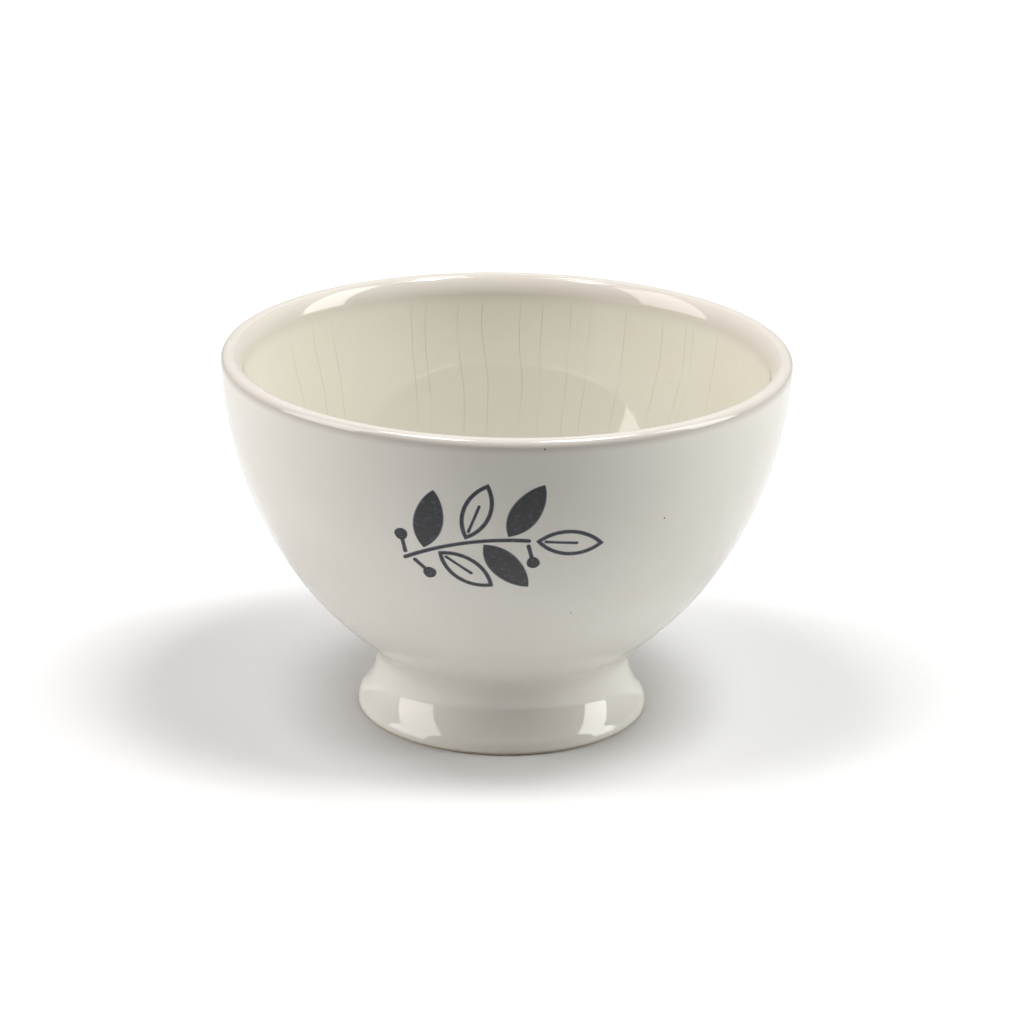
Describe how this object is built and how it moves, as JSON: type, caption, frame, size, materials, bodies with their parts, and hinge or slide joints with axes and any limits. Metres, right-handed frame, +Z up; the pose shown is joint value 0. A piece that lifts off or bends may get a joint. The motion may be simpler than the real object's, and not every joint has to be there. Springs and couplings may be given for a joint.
{
  "type": "footed bowl",
  "caption": "Round glazed earthenware bowl with a deep curved body, a rounded lip and a flared foot, printed with a plain leaf sprig.",
  "frame": {"origin": "centre of the foot's standing ring, on the table", "axes": "+Z up along the bowl's axis of revolution; -Y towards the printed front, +X to the right as seen from the front"},
  "size_m": [0.14, 0.14, 0.0926],
  "materials": {
    "clay": "matt biscuit",
    "slip": "matt biscuit",
    "inner_glaze": "clear gloss, finely crazed",
    "outer_glaze": "clear gloss",
    "print": "fired enamel print under gloss"
  },
  "bodies": {
    "root": {"bowl_body": "clay", "foot_ring": "clay", "slip_joint": "slip", "inner_glaze": "inner_glaze", "outer_glaze": "outer_glaze", "recess_glaze": "outer_glaze", "sprig_stem": "print", "solid_leaves": "print", "outlined_leaves": "print", "sprig_berries": "print"}
  },
  "joints": []
}
